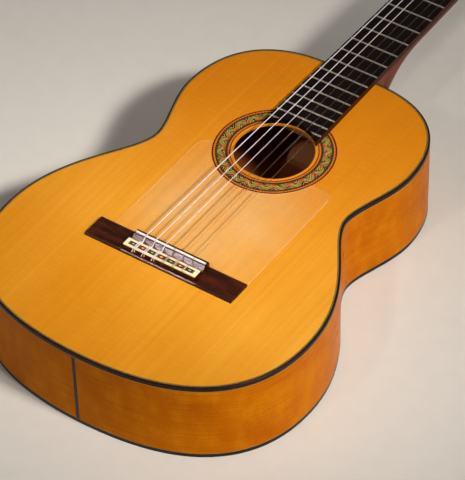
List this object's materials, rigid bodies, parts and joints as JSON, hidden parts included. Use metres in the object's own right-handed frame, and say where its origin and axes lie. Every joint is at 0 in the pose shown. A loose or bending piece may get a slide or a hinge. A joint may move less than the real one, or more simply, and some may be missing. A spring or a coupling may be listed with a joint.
{
  "type": "classical guitar",
  "caption": "Classical guitar with a golden spruce top, mosaic rosette, clear tap plate, dark bindings, a bridge with tied strings and a slotted head with worm-and-gear tuners.",
  "frame": {"origin": "under the middle of the whole length, on the plane of the back, on the centre line", "axes": "+Y from the tail to the head, +X to the treble side, +Z out of the soundboard"},
  "size_m": [0.36, 0.9952, 0.1067],
  "materials": {
    "spruce_top": "thin clear lacquer over golden spruce, fine grain along the neck",
    "rosette_mosaic": "dyed wood mosaic under clear lacquer",
    "side_wood": "amber lacquer over pale wood with fine grain",
    "binding_wood": "polished dark rosewood",
    "clear_sheet": "clear thin sheet with a bright cut edge",
    "inside_wood": "bare planed softwood",
    "neck_wood": "lacquered reddish cedar",
    "fingerboard_wood": "oiled near-black wood",
    "fret_metal": "worn nickel silver",
    "bone": "polished cream bone",
    "bridge_wood": "waxed dark rosewood with reddish streaks",
    "tuner_brass": "polished brass with worn edges",
    "roller_plastic": "turned cream plastic",
    "button_plastic": "mottled cream plastic",
    "nylon": "translucent monofilament",
    "wound_silver": "silver wire wound on a silk core"
  },
  "bodies": {
    "guitar": {"soundboard": "spruce_top", "rosette": "rosette_mosaic", "back": "side_wood", "side_bass": "side_wood", "side_treble": "side_wood", "bindings": "binding_wood", "heel_cap": "binding_wood", "head_plate": "binding_wood", "tap_plate": "clear_sheet", "tail_block": "inside_wood", "linings": "inside_wood", "top_braces": "inside_wood", "back_braces": "inside_wood", "neck": "neck_wood", "headstock": "neck_wood", "fingerboard": "fingerboard_wood", "frets": "fret_metal", "nut": "bone", "saddle": "bone", "tie_block_trim": "bone", "bridge": "bridge_wood", "tuner_plate_bass": "tuner_brass", "tuner_plate_treble": "tuner_brass", "tuner_screws": "tuner_brass", "string_1": "nylon", "string_2": "nylon", "string_3": "nylon", "string_4": "wound_silver", "string_5": "wound_silver", "string_6": "wound_silver"},
    "knob_1": {"worm_1": "tuner_brass", "button_1": "button_plastic"},
    "drum_1": {"roller_1": "roller_plastic", "gear_1": "tuner_brass", "winding_1": "nylon"},
    "knob_2": {"worm_2": "tuner_brass", "button_2": "button_plastic"},
    "drum_2": {"roller_2": "roller_plastic", "gear_2": "tuner_brass", "winding_2": "nylon"},
    "knob_3": {"worm_3": "tuner_brass", "button_3": "button_plastic"},
    "drum_3": {"roller_3": "roller_plastic", "gear_3": "tuner_brass", "winding_3": "nylon"},
    "knob_4": {"worm_4": "tuner_brass", "button_4": "button_plastic"},
    "drum_4": {"roller_4": "roller_plastic", "gear_4": "tuner_brass", "winding_4": "wound_silver"},
    "knob_5": {"worm_5": "tuner_brass", "button_5": "button_plastic"},
    "drum_5": {"roller_5": "roller_plastic", "gear_5": "tuner_brass", "winding_5": "wound_silver"},
    "knob_6": {"worm_6": "tuner_brass", "button_6": "button_plastic"},
    "drum_6": {"roller_6": "roller_plastic", "gear_6": "tuner_brass", "winding_6": "wound_silver"}
  },
  "joints": [
    {"name": "knob_turn_1", "type": "hinge", "parent": "guitar", "child": "knob_1", "pos_m": [0.0404, 0.35227, 0.07635], "axis": [0, 0.2588, 0.9659], "continuous": true},
    {"name": "roller_turn_1", "type": "hinge", "parent": "guitar", "child": "drum_1", "pos_m": [0, 0.35985, 0.07432], "axis": [1, 0, 0], "continuous": true},
    {"name": "knob_turn_2", "type": "hinge", "parent": "guitar", "child": "knob_2", "pos_m": [0.0404, 0.38608, 0.06729], "axis": [0, 0.2588, 0.9659], "continuous": true},
    {"name": "roller_turn_2", "type": "hinge", "parent": "guitar", "child": "drum_2", "pos_m": [0, 0.39366, 0.06526], "axis": [1, 0, 0], "continuous": true},
    {"name": "knob_turn_3", "type": "hinge", "parent": "guitar", "child": "knob_3", "pos_m": [0.0404, 0.41988, 0.05823], "axis": [0, 0.2588, 0.9659], "continuous": true},
    {"name": "roller_turn_3", "type": "hinge", "parent": "guitar", "child": "drum_3", "pos_m": [0, 0.42746, 0.0562], "axis": [1, 0, 0], "continuous": true},
    {"name": "knob_turn_4", "type": "hinge", "parent": "guitar", "child": "knob_4", "pos_m": [-0.0404, 0.41988, 0.05823], "axis": [0, 0.2588, 0.9659], "continuous": true},
    {"name": "roller_turn_4", "type": "hinge", "parent": "guitar", "child": "drum_4", "pos_m": [0, 0.42746, 0.0562], "axis": [1, 0, 0], "continuous": true},
    {"name": "knob_turn_5", "type": "hinge", "parent": "guitar", "child": "knob_5", "pos_m": [-0.0404, 0.38608, 0.06729], "axis": [0, 0.2588, 0.9659], "continuous": true},
    {"name": "roller_turn_5", "type": "hinge", "parent": "guitar", "child": "drum_5", "pos_m": [0, 0.39366, 0.06526], "axis": [1, 0, 0], "continuous": true},
    {"name": "knob_turn_6", "type": "hinge", "parent": "guitar", "child": "knob_6", "pos_m": [-0.0404, 0.35227, 0.07635], "axis": [0, 0.2588, 0.9659], "continuous": true},
    {"name": "roller_turn_6", "type": "hinge", "parent": "guitar", "child": "drum_6", "pos_m": [0, 0.35985, 0.07432], "axis": [1, 0, 0], "continuous": true}
  ],
  "couplings": [
    {"joint": "roller_turn_1", "follows": "knob_turn_1", "ratio": 0.071429},
    {"joint": "roller_turn_2", "follows": "knob_turn_2", "ratio": 0.071429},
    {"joint": "roller_turn_3", "follows": "knob_turn_3", "ratio": 0.071429},
    {"joint": "roller_turn_4", "follows": "knob_turn_4", "ratio": -0.071429},
    {"joint": "roller_turn_5", "follows": "knob_turn_5", "ratio": -0.071429},
    {"joint": "roller_turn_6", "follows": "knob_turn_6", "ratio": -0.071429}
  ]
}
